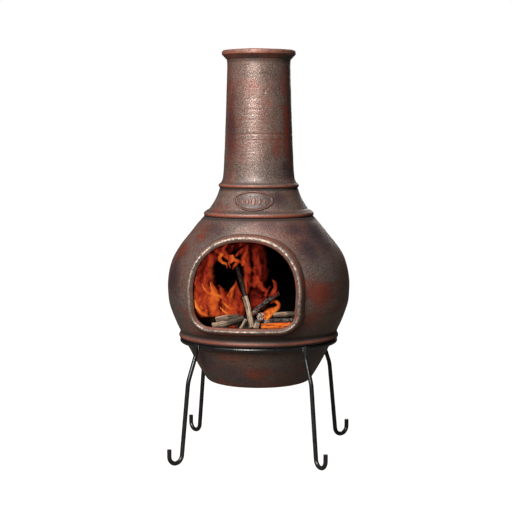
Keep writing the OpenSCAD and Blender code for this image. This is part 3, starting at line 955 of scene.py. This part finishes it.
def plaque_height(p, q):
    """How far the plaque stands out of the collar at a point, with its rust value and its painted shade in
    the grooves and round the relief.
    """
    rho = math.hypot(p / PLAQUE_HALF_W, q / PLAQUE_HALF_H)
    slope = math.hypot(p / PLAQUE_HALF_W**2, q / PLAQUE_HALF_H**2) / max(rho, 1e-6)
    inward = (1 - rho) / max(slope, 1e-6)
    border = 5.0 * smoothstep(-0.2, 1.6, inward) - 2.6 * smoothstep(2.4, 4.2, inward)
    dome = 0.9 * (1 - rho * rho) * smoothstep(5, 9, inward)
    relief = flame_relief(p, q)
    edge = 1.2 * (1 - smoothstep(-0.2, 0.6, inward))
    height = border + 0.9 * bell(inward, 5.6, 0.8) + dome + relief - edge
    wear = bell(inward, 1.9, 1.1) + bell(inward, 5.6, 0.9) * 0.6 + relief * 0.45
    # Painted shade inside the border, round the plaque's foot and round the raised flames.
    groove = bell(inward, 4.2, 0.9) + bell(inward, 0, 0.9)
    if relief > 0.02:
        groove += 0.9 * bell(relief, 0.35, 0.28)
    return height, min(wear, 1), min(groove, 1)


def build_plaque(clay):
    verts, wear, groove = [], [], []
    turn_c, turn_s = math.cos(PLAQUE_TURN), math.sin(PLAQUE_TURN)
    for i in range(1, PLAQUE_RINGS + 1):
        share = i / PLAQUE_RINGS
        for c, s in circle(PLAQUE_SIDES):
            p, q = PLAQUE_HALF_W * share * c, PLAQUE_HALF_H * share * s
            # deep is the painted shade in the plaque's grooves.
            height, worn, deep = plaque_height(p, q)
            x, y, z = on_round(p, PLAQUE_Z + q, radius_at(COLLAR_TABLE, PLAQUE_Z + q) + height)
            verts.append((x * turn_c - y * turn_s, x * turn_s + y * turn_c, z))
            wear.append(worn)
            groove.append(deep)
    # The last ring lies inside the collar. The last two points are the middles of the front and the back.
    verts += [(x * 0.93, y * 0.93, z) for x, y, z in verts[-PLAQUE_SIDES:]]
    first, last = verts[:PLAQUE_SIDES], verts[-PLAQUE_SIDES:]
    verts += [tuple(np.mean(first, axis=0)), tuple(np.mean(last, axis=0))]
    faces = outward(verts, tipped_faces(PLAQUE_RINGS + 1, PLAQUE_SIDES))
    plaque = make_object("oval_plaque_relief", verts, faces, clay, "chimney")
    rest = [0.0] * (len(verts) - len(wear))
    polish = [0.62 * w for w in wear]
    # The plaque's sunk field, away from the raised parts, is darkened: painted shade.
    dusk = [0.7 * (1 - w) for w in wear]
    add_values(plaque, wear=wear + rest, groove=groove + rest, polish=polish + rest, dusk=dusk + rest)
    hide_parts("oval_plaque")


# ---- stand ----

STAND_TURN = 2
LEGS = {"front_left_leg": -41, "front_right_leg": 41, "rear_left_leg": -133, "rear_right_leg": 133}
FOOT_BEND_R = 21
LEG_TOP_R = RING_R + 2 * BAR_R
FOOT_IN_R = LEG_TOP_R + 51
FOOT_OUT_R = FOOT_IN_R + 1.92 * FOOT_BEND_R
LEG_PATH = [
    (LEG_TOP_R, RING_Z + 4), (LEG_TOP_R + 1, RING_Z - 24), (LEG_TOP_R + 27, RING_Z - 92),
    (FOOT_IN_R, BAR_R), (FOOT_OUT_R, BAR_R), (FOOT_OUT_R, BAR_R + FOOT_BEND_R + 19),
]
LEG_BENDS = [0, 40, 80, FOOT_BEND_R, FOOT_BEND_R, 0]
# Length of the chamfer at both ends of a leg.
LEG_END = 0.7


def leg_line():
    """Middle line of a leg, [radius, height], with its corners rounded to their bends."""
    corners = [np.array(p, float) for p in LEG_PATH]
    out = [corners[0]]
    for i in range(1, len(corners) - 1):
        back = corners[i - 1] - corners[i]
        ahead = corners[i + 1] - corners[i]
        back, ahead = back / np.linalg.norm(back), ahead / np.linalg.norm(ahead)
        turn = math.pi - math.acos(float(np.clip(back @ ahead, -1, 1)))
        reach = LEG_BENDS[i] * math.tan(turn / 2)
        start, end = corners[i] + back * reach, corners[i] + ahead * reach
        inward = (back + ahead) / np.linalg.norm(back + ahead)
        centre = corners[i] + inward * (LEG_BENDS[i] / math.cos(turn / 2))
        steps = max(6, int(math.degrees(turn) / 4))
        for k in range(steps + 1):
            p = start + (end - start) * k / steps - centre
            out.append(centre + p / np.linalg.norm(p) * LEG_BENDS[i])
    return dense(out + [corners[-1]], 6)


def leg_direction(angle):
    a = math.radians(angle + STAND_TURN)
    return math.sin(a), -math.cos(a)


def build_ring(paint):
    verts = []
    for dx, dy in circle(RING_STEPS):
        out, up = Vector((dx, dy, 0)), Vector((0, 0, 1))
        verts += [out * (RING_R + BAR_R * c) + up * (RING_Z + BAR_R * s) for c, s in circle(BAR_SIDES)]
    faces = outward(verts, grid_faces(RING_STEPS, BAR_SIDES, close_rows=True))
    piece = make_object("ring_bar", verts, faces, paint, "stand")
    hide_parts("stand_ring")


def build_leg(node, angle, line, paint):
    dx, dy = leg_direction(angle)
    path = [Vector((r * dx, r * dy, z)) for r, z in line]
    first = path[0] + (path[1] - path[0]).normalized() * LEG_END
    last = path[-1] + (path[-2] - path[-1]).normalized() * LEG_END
    verts, faces = tube([path[0], first] + path[1:-1] + [last, path[-1]], BAR_R - 0.02, BAR_SIDES)
    piece = make_object(node + "_bar", verts, faces, paint, "stand")
    sharpen(piece, 35)
    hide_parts(node)


def build_stand(paint):
    build_ring(paint)
    line = leg_line()
    for node, angle in LEGS.items():
        build_leg(node, angle, line, paint)
    build_welds(paint)


def weld_bead(direction, side, seed):
    """One rippled run of weld in the corner between a leg and the ring."""
    dx, dy = direction
    outwards, up = Vector((dx, dy, 0)), Vector((0, 0, 1))
    across = Vector((-dy, dx, 0)) * side
    corner = outwards * (RING_R + BAR_R) + up * RING_Z + across * (BAR_R - 2.4)
    rows, sides, length = 40, 16, 17.0
    verts = []
    for i in range(rows):
        t = i / (rows - 1)
        swell = math.sqrt(max(0.0, 1 - (2 * t - 1) ** 2))
        ripple = 1 + 0.10 * math.sin(t * 2 * math.pi * 6 + seed)
        r = 3.3 * (0.15 + 0.85 * swell**0.6) * ripple
        middle = corner + up * ((t - 0.5) * length - 2.0)
        verts += [middle + across * (r * c) + outwards * (r * s) for c, s in circle(sides)]
    return verts, outward(verts, capped_faces(rows, sides))


def join_parts(parts):
    """One set of verts and faces out of several."""
    verts, faces = [], []
    for part_verts, part_faces in parts:
        start = len(verts)
        verts += [tuple(v) for v in part_verts]
        faces += [tuple(start + i for i in f) for f in part_faces]
    return verts, faces


def build_welds(paint):
    verts, faces = join_parts(
        weld_bead(leg_direction(angle), side, number + side)
        for number, angle in enumerate(LEGS.values()) for side in (-1, 1))
    piece = make_object("weld_beads", verts, faces, paint, "stand")
    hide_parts("leg_welds")


# ---- lava stones ----


def ball(levels):
    """A round mesh of triangles, radius 1, as verts and faces."""
    bm = bmesh.new()
    bmesh.ops.create_icosphere(bm, subdivisions=levels, radius=1)
    verts = [v.co.copy() for v in bm.verts]
    faces = [tuple(v.index for v in f.verts) for f in bm.faces]
    bm.free()
    return verts, faces


def lava_stone(round_mesh, centre, size, rng):
    """One rough stone."""
    verts, faces = round_mesh
    squash = Vector((1, rng.uniform(0.75, 1), rng.uniform(0.62, 0.85)))
    turn = Vector((rng.uniform(-3, 3), rng.uniform(-3, 3), rng.uniform(-3, 3)))
    out = []
    for v in verts:
        big = noise.noise(v * 1.1 + turn * 3)
        chips = noise.noise(v * 2.6 + turn)
        pores = max(0.0, noise.noise(v * 7 + turn * 2))
        r = size * (1 + 0.30 * big + 0.14 * chips - 0.10 * pores)
        p = Vector((v.x * squash.x, v.y * squash.y, v.z * squash.z)) * r
        p.rotate(Vector((0, 0, 1)).rotation_difference(turn.normalized()))
        out.append(centre + p)
    return out, faces


STONES = 150
STONE_TRIES = 9000
# The bed below the stones has a bumpy top, from this height up.
BUMPY_FROM = 320


def uneven_bed(x, y, z):
    return x, y, z + (3 * bump_noise(x, y, z, 12) if z > BUMPY_FROM else 0)


def build_lava_stones(stone):
    """Stones lying in the bowl: a full top layer over a dark, uneven bed."""
    rng = random.Random(11)
    bed_r = radius_at(INSIDE_TABLE, BED_Z)
    places = []
    for _ in range(STONE_TRIES):
        if len(places) == STONES:
            break
        size = rng.uniform(12, 20)
        a, r = rng.uniform(0, 2 * math.pi), (bed_r - size - 4) * math.sqrt(rng.random())
        x, y = r * math.cos(a), r * math.sin(a)
        if all(math.hypot(x - p[0], y - p[1]) > 0.86 * (size + p[2]) for p in places):
            places.append((x, y, size))
    round_mesh = ball(4)
    parts = []
    for x, y, size in places:
        height = BED_Z - size * 0.86 + rng.uniform(-3, 2)
        parts.append(lava_stone(round_mesh, Vector((x, y, height)), size, rng))
    below = [p for p in dense(POT_INSIDE, 8) if p[1] < BED_Z - 22]
    outline = [[0, BED_Z - 20]] + dense([[30, BED_Z - 20], [below[0][0] - 1, BED_Z - 20]], 8)
    outline += [[p[0] - 1, p[1] + 0.5] for p in below] + [[0, below[-1][1] + 0.5]]
    parts.append(lathe(outline, 96, uneven_bed))
    verts, faces = join_parts(parts)
    piece = make_object("lava_stones", verts, faces, stone, "pot")
    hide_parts("lava_stone_bed")


# ---- firewood ----

# Each stick: start, end, radius at both, kind of wood, sideways bow, depth of its furrows.
STICKS = {
    "upright_stick": ((7, -152, 361), (-17, -120, 441), 8, 8, "pale", 2.0, 0.14),
    "kindling_stick": ((-22, -165, 358), (-6, -172, 386), 5, 5, "pale", 1.0, 0.12),
    "upper_left_stick": ((-98, -114, 374), (-36, -104, 385), 10, 8, "pale", 3.0, 0.26),
    "lower_left_stick": ((-100, -152, 363), (-19, -128, 385), 10, 8, "pale", -3.0, 0.24),
    "charred_upright_stick": ((-2, -94, 361), (-50, -80, 528), 8, 6.5, "charred", 3.0, 0.16),
    "leaning_charred_stick": ((-1, -112, 391), (64, -52, 442), 8, 7, "charred", 3.0, 0.26),
    "ember_log": ((24, -122, 388), (42, -20, 368), 12, 12, "charred", 2.0, 0.20),
    "right_pale_stick": ((56, -92, 387), (118, -86, 391), 8, 8, "pale", 2.5, 0.26),
    "right_charred_stick": ((37, -134, 374), (113, -122, 380), 8, 7, "charred", 2.0, 0.18),
    "ember_slab": ((36, -174, 369), (111, -154, 372), 8, 8, "ember", 0.0, 0.16),
    "short_stub": ((20, -168, 361), (24, -154, 381), 8, 8, "pale", 0.5, 0.14),
    "dark_side_log": ((-165, -60, 364), (-100, -60, 364), 11, 11, "charred", 2.0, 0.24),
}
# Sticks that are white with ash or glow at their start, and those that are charred at an end.
ASHY_START = {"ember_log": 1.0, "right_charred_stick": 0.6, "leaning_charred_stick": 0.6}
ASHY = {"ember_log": 0.25, "right_charred_stick": 0.22, "leaning_charred_stick": 0.32, "dark_side_log": 0.1}
GLOWING_START = {"ember_log": 0.4, "leaning_charred_stick": 0.5, "right_charred_stick": 0.25}
CHARRED_END = {
    "right_pale_stick": 0.5, "upper_left_stick": 0.45, "lower_left_stick": 0.35, "short_stub": 0.6,
}


# Metres along the grain from one stick's place in the noise to the next one's.
GRAIN_SHIFT = 0.37


def stick_mesh(start, end, first_r, last_r, bow, furrow, seed):
    """A split or round stick with furrows, a slight bow and rough ends, and the values of its points."""
    start, end = Vector(start), Vector(end)
    length = (end - start).length
    rows = max(24, int(length / 1.6))
    axis = (end - start).normalized()
    u = axis.orthogonal().normalized()
    v = axis.cross(u)
    verts, grain, shares, crease = [], [], [], []
    lean = Vector((seed * 3.7, seed * 1.3, seed * 2.1))
    ends = [(0.0, 0.45), (0.0, 0.86), (1.2, 0.97)]
    stations = ends + [(1.2 + (length - 2.4) * i / rows, 1.0) for i in range(1, rows)]
    stations += [(length - d, f) for d, f in reversed(ends)]
    for d, factor in stations:
        t = d / length
        middle = start + axis * d + u * (bow * math.sin(math.pi * t))
        r = (first_r + (last_r - first_r) * t) * factor
        outward_sign = 1 if d < length / 2 else -1
        for c, s in circle(STICK_SIDES):
            ridge = min(1, abs(noise.noise(Vector((c * 2.4, s * 2.4, d / 34)) + lean)) * 2)
            knots = noise.noise(Vector((c * 1.1, s * 1.1, d / 13)) + lean * 2)
            slit = max(0.0, noise.noise(Vector((c * 4.5, s * 4.5, d / 60)) + lean * 3) - 0.25)
            size = 1 - furrow * (0.55 - 0.55 * ridge) - 0.10 * (0.5 - knots * 0.5) - furrow * 1.6 * slit
            rough = 0.0
            if factor < 0.99:
                rough = 0.7 * noise.noise(Vector((c * 3 * factor, s * 3 * factor, seed)))
            verts.append(middle + (u * c + v * s) * (r * size) + axis * (rough * outward_sign))
            grain.append((c * r * MM, s * r * MM, d * MM + seed * GRAIN_SHIFT))
            shares.append(t)
            # crease marks the furrows and slits that the wood's colour darkens as painted shade.
            crease.append(min(1.0, max(0.0, 5 * slit + 1.6 * (0.30 - ridge))))
    first, last = verts[:STICK_SIDES], verts[-STICK_SIDES:]
    verts += [sum(first, Vector()) / STICK_SIDES, sum(last, Vector()) / STICK_SIDES]
    grain += [(0, 0, seed * GRAIN_SHIFT), (0, 0, length * MM + seed * GRAIN_SHIFT)]
    faces = outward(verts, tipped_faces(len(stations), STICK_SIDES))
    return verts, faces, grain, np.array(shares + [0.0, 1.0]), crease + [0.0, 0.0]


def build_stick(node, wood, seed):
    start, end, first_r, last_r, kind, bow, furrow = STICKS[node]
    verts, faces, grain, shares, crease = stick_mesh(start, end, first_r, last_r, bow, furrow, seed)
    piece = make_object(node + "_wood", verts, faces, wood[kind], "pot")
    ash = np.clip(1 - shares * 4, ASHY.get(node, 0), 1) * ASHY_START.get(node, 0.0)
    glow = np.clip(1 - shares * 3.5, 0, 1) * GLOWING_START.get(node, 0.0)
    char = np.clip((shares - CHARRED_END.get(node, 1.0)) * 6, 0, 0.85)
    add_values(piece, grain=grain, crease=crease, ash=ash, glow=glow, char=char)
    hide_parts(node)


def build_firewood():
    wood = {"pale": pale_wood_material(), "charred": charred_wood_material(), "ember": ember_material()}
    for seed, node in enumerate(STICKS):
        build_stick(node, wood, seed + 1)


# ---- flames ----

# Each tongue: [x, y, z, half width] up its middle, heat, and how solid it is.
TONGUES = {
    "back_glow": ([
        (6, -70, 400, 24), (8, -70, 426, 28), (14, -70, 450, 24), (22, -70, 476, 6)], 0.24, 0.9),
    "left_back": ([
        (-140, -84, 400, 30), (-130, -84, 440, 34), (-126, -84, 480, 22),
        (-130, -84, 520, 6)], 0.30, 0.95),
    "left_wall": ([
        (-150, -96, 462, 28), (-144, -96, 490, 32), (-138, -94, 515, 36), (-128, -92, 538, 28),
        (-112, -88, 560, 15), (-84, -84, 571, 3)], 0.44, 0.97),
    "upper_band": ([
        (-126, -80, 530, 14), (-100, -80, 546, 17), (-74, -80, 560, 14), (-44, -80, 574, 10),
        (-14, -80, 584, 4)], 0.20, 0.9),
    "mid_mass": ([
        (-88, -108, 384, 22), (-90, -108, 405, 24), (-93, -108, 425, 20), (-97, -110, 446, 13),
        (-106, -110, 468, 1)], 0.54, 0.97),
    "low_mass": ([
        (-56, -110, 384, 26), (-58, -110, 405, 30), (-66, -110, 425, 22), (-74, -112, 443, 13),
        (-84, -112, 458, 7), (-90, -112, 472, 1)], 0.54, 0.97),
    "low_right": ([
        (-34, -104, 386, 15), (-36, -104, 410, 18), (-38, -104, 433, 15), (-42, -102, 454, 9),
        (-46, -100, 472, 5), (-44, -98, 486, 1)], 0.50, 0.97),
    "left_lobe": ([
        (-124, -120, 384, 14), (-134, -120, 407, 28), (-140, -120, 431, 28), (-142, -118, 454, 20),
        (-146, -114, 478, 11), (-139, -110, 500, 1)], 0.56, 0.97),
    "inner_lobe": ([
        (-100, -116, 384, 18), (-104, -116, 407, 24), (-110, -116, 429, 22), (-117, -116, 449, 14),
        (-124, -114, 465, 8), (-128, -112, 487, 1)], 0.66, 0.97),
    "low_peak": ([
        (-96, -114, 425, 10), (-99, -114, 447, 8), (-105, -114, 465, 4),
        (-112, -114, 482, 1)], 0.74, 0.9),
    "mid_peak": ([
        (-76, -112, 430, 9), (-82, -112, 448, 7), (-86, -112, 462, 4), (-92, -112, 470, 1)], 0.74, 0.9),
    "side_peak": ([
        (-60, -108, 420, 7), (-56, -108, 444, 6), (-50, -106, 462, 4), (-43, -104, 480, 1)], 0.68, 0.9),
    "lobe_edge": ([
        (-163, -122, 452, 1), (-157, -124, 429, 4), (-146, -124, 406, 5), (-129, -124, 390, 5),
        (-112, -124, 386, 2)], 0.98, 0.95),
    "arc": ([
        (-134, -126, 474, 1), (-124, -126, 455, 4), (-104, -126, 446, 5), (-82, -126, 440, 5),
        (-66, -126, 424, 1)], 0.88, 0.85),
    "arc_low": ([
        (-84, -126, 412, 1), (-74, -126, 402, 3), (-64, -126, 394, 4), (-54, -126, 390, 1)], 0.96, 0.8),
    "thread_left": ([
        (-111, -124, 478, 1), (-107, -124, 461, 4), (-102, -124, 448, 5),
        (-90, -124, 438, 1)], 0.95, 0.8),
    "thread_right": ([
        (-81, -124, 438, 1), (-72, -124, 420, 4), (-56, -122, 408, 4),
        (-38, -120, 411, 1)], 0.88, 0.75),
    "thread_up": ([
        (-66, -122, 440, 2), (-56, -120, 456, 4), (-48, -116, 466, 4), (-42, -112, 478, 1)], 0.84, 0.8),
    "tuft": ([
        (-30, -96, 529, 3), (-47, -96, 535, 6), (-62, -96, 540, 9), (-76, -94, 548, 9),
        (-90, -92, 553, 6), (-106, -90, 561, 2)], 0.62, 0.97),
    "tuft_drop": ([
        (-60, -98, 550, 8), (-57, -98, 537, 8), (-65, -98, 527, 5), (-60, -98, 512, 1)], 0.72, 0.95),
    "tuft_curl": ([
        (-82, -98, 553, 5), (-91, -98, 541, 6), (-84, -98, 529, 5), (-73, -98, 525, 5),
        (-69, -98, 511, 1)], 0.80, 0.9),
    "tuft_tip": ([
        (-74, -94, 553, 8), (-82, -92, 563, 6), (-74, -88, 575, 4), (-66, -86, 580, 1)], 0.50, 0.9),
    "small_drop": ([
        (-38, -98, 538, 5), (-43, -98, 528, 5), (-51, -98, 520, 4), (-55, -98, 508, 1)], 0.60, 0.9),
    "streak": ([
        (-50, -90, 545, 3), (-37, -88, 556, 7), (-23, -86, 567, 7), (-10, -84, 580, 5)], 0.40, 0.9),
    "centre": ([
        (-14, -98, 443, 2), (-15, -98, 466, 9), (-15, -96, 490, 12), (-15, -94, 515, 14),
        (-19, -92, 537, 12), (-12, -90, 560, 8), (-2, -88, 586, 8)], 0.44, 0.97),
    "centre_branch": ([
        (-27, -98, 520, 6), (-27, -98, 540, 7), (-20, -96, 556, 5), (-14, -94, 570, 1)], 0.60, 0.9),
    "right_stream": ([
        (-2, -84, 462, 9), (6, -84, 486, 14), (10, -84, 502, 14), (7, -82, 526, 13), (6, -82, 551, 13),
        (8, -80, 584, 16)], 0.42, 0.9),
    "faint_far": ([
        (22, -70, 470, 10), (25, -70, 500, 14), (22, -68, 530, 13), (20, -66, 575, 9)], 0.17, 0.75),
    "right_thread": ([
        (10, -88, 496, 3), (15, -88, 476, 8), (25, -88, 460, 7), (36, -88, 451, 5),
        (34, -88, 434, 1)], 0.52, 0.9),
    "hook": ([
        (42, -92, 439, 4), (54, -92, 450, 7), (60, -92, 462, 6), (58, -92, 476, 5),
        (51, -92, 486, 1)], 0.62, 0.97),
    "hook_left": ([(33, -92, 440, 4), (41, -92, 457, 4), (48, -92, 468, 1)], 0.46, 0.9),
    "hook_right": ([(52, -94, 438, 6), (63, -94, 447, 6), (72, -94, 456, 1)], 0.32, 0.85),
    "curl": ([
        (39, -136, 382, 7), (46, -136, 398, 10), (61, -136, 406, 9), (74, -136, 416, 7),
        (75, -136, 425, 6), (65, -136, 431, 5), (51, -136, 424, 1)], 0.86, 1.0),
    "curl_low": ([(44, -138, 382, 4), (52, -138, 392, 6), (64, -138, 401, 1)], 0.96, 0.95),
    "curl_tail": ([(35, -138, 400, 2), (45, -138, 404, 4), (56, -138, 407, 1)], 0.96, 0.95),
    "right_edge": ([(119, -100, 396, 7), (122, -100, 412, 7), (122, -100, 426, 1)], 0.56, 0.9),
    "bed_glow": ([(-56, -162, 360, 2), (-44, -162, 364, 5), (-30, -162, 366, 2)], 0.66, 0.9),
}


def build_tongue(name, points, heat, solid, material, seed):
    """A cupped sheet that tapers to both ends, with its own ripple."""
    middle = smooth(points, 12)
    count = len(middle)
    verts, edge, fade, hotness = [], [], [], []
    for i, (*p, half_w) in enumerate(middle):
        along = middle[min(i + 1, count - 1)] - middle[max(i - 1, 0)]
        side = np.array([along[2], 0.0, -along[0]]) / max(math.hypot(along[0], along[2]), 1e-6)
        t = i / (count - 1)
        for k in range(FLAME_COLUMNS):
            s = 2 * k / (FLAME_COLUMNS - 1) - 1
            ragged = 1 + 0.32 * noise.noise(Vector((p[2] / 16, s * 2 + seed, seed * 1.7)))
            ragged += 0.22 * noise.noise(Vector((p[2] / 6, s * 2 - seed, seed * 0.7)))
            wave = 6 * noise.noise(Vector((p[0] / 22, s * 1.2 + seed, p[2] / 30)))
            x, y, z = p + side * (s * max(half_w, 0.5) * ragged)
            verts.append((x, y + 0.35 * half_w * s * s + wave, z))
            edge.append(abs(s))
            fade.append(solid * min(1.0, t / 0.10 + 0.25) * (1 - t**5))
            hotness.append(heat * (1.06 - 0.24 * t) + 0.22 * max(0.0, abs(s) - 0.45))
    faces = grid_faces(count, FLAME_COLUMNS, close_columns=False)
    piece = make_object("flame_" + name, verts, faces, material, "pot")
    add_values(piece, edge=edge, fade=fade, hotness=hotness)


def build_flames():
    material = flame_material()
    for seed, (name, (points, heat, solid)) in enumerate(TONGUES.items()):
        build_tongue(name, points, heat, solid, material, seed)


# ---- floor, light and camera ----

CAMERA_AZIMUTH = math.radians(9.5)
CAMERA_DISTANCE = 3.781
CAMERA_HEIGHT = 0.878
CAMERA_PITCH = math.radians(5.12)
CAMERA_YAW = math.radians(0.114)
CAMERA_LENS = 97.03


def build_camera():
    data = bpy.data.cameras.new("camera")
    data.lens, data.sensor_width = CAMERA_LENS, 36
    camera = bpy.data.objects.new("camera", data)
    east, south = math.sin(CAMERA_AZIMUTH), math.cos(CAMERA_AZIMUTH)
    camera.location = (CAMERA_DISTANCE * east, -CAMERA_DISTANCE * south, CAMERA_HEIGHT)
    camera.rotation_euler = (math.pi / 2 - CAMERA_PITCH, 0, CAMERA_AZIMUTH + CAMERA_YAW)
    bpy.context.scene.collection.objects.link(camera)
    bpy.context.scene.camera = camera


FLOOR_HALF = 40.0
AIM = Vector((0, 0, 0.6))
SUN_WIDTH = math.radians(35)
# The world's strength as a light. The camera sees it at full strength.
WORLD_LIGHT = 0.035


def build_floor():
    mesh = bpy.data.meshes.new("floor")
    corners = [(x * FLOOR_HALF, y * FLOOR_HALF, 0) for x, y in [(-1, -1), (1, -1), (1, 1), (-1, 1)]]
    mesh.from_pydata(corners, [], [(0, 1, 2, 3)])
    floor = bpy.data.objects.new("floor", mesh)
    bpy.context.scene.collection.objects.link(floor)
    mesh.materials.append(floor_material())


def add_light(name, kind, azimuth, elevation, distance, energy, colour):
    """A light that shines at the middle of the chiminea from azimuth, elevation and distance."""
    data = bpy.data.lights.new(name, kind)
    data.energy, data.color = energy, colour
    a, e = math.radians(azimuth), math.radians(elevation)
    back = Vector((math.sin(a) * math.cos(e), -math.cos(a) * math.cos(e), math.sin(e)))
    light = bpy.data.objects.new(name, data)
    light.location = AIM + back * distance
    light.rotation_euler = (-back).to_track_quat("-Z", "Y").to_euler()
    bpy.context.scene.collection.objects.link(light)
    return data


def add_softbox(name, azimuth, elevation, distance, energy, colour, width, height):
    data = add_light(name, "AREA", azimuth, elevation, distance, energy, colour)
    data.shape = "RECTANGLE"
    data.size, data.size_y = width, height


def build_lights():
    add_light("top", "SUN", -8, 62, 5, 1.5, (1.0, 1.0, 1.0)).angle = SUN_WIDTH
    add_softbox("key", -11, 30, 3.2, 212, (1.0, 0.98, 0.95), 1.2, 1.8)
    add_softbox("left_edge", -88, 15, 3.0, 1, (1.0, 0.74, 0.62), 0.9, 2.0)
    add_softbox("behind", 178, 20, 3.4, 30, (1.0, 0.96, 0.92), 1.6, 1.6)
    world = bpy.data.worlds.new("studio")
    bpy.context.scene.world = world
    world.use_nodes = True
    tree = world.node_tree
    background = tree.nodes["Background"]
    background.inputs["Color"].default_value = (1, 1, 1, 1)
    seen = tree.nodes.new("ShaderNodeLightPath").outputs["Is Camera Ray"]
    strength = tree.nodes.new("ShaderNodeMapRange")
    strength.inputs["To Min"].default_value = WORLD_LIGHT
    strength.inputs["To Max"].default_value = 1.0
    tree.links.new(seen, strength.inputs["Value"])
    tree.links.new(strength.outputs["Result"], background.inputs["Strength"])
    bpy.context.scene.view_settings.view_transform = "Standard"


def build_clay():
    clay, soot = clay_material(), soot_material()
    build_fire_pot(clay, soot)
    build_mouth_rim(clay, soot)
    build_chimney(clay, soot)
    build_plaque(clay)


build_camera()
build_clay()
build_stand(black_paint_material())
build_lava_stones(stone_material())
build_firewood()
build_flames()
build_floor()
build_lights()
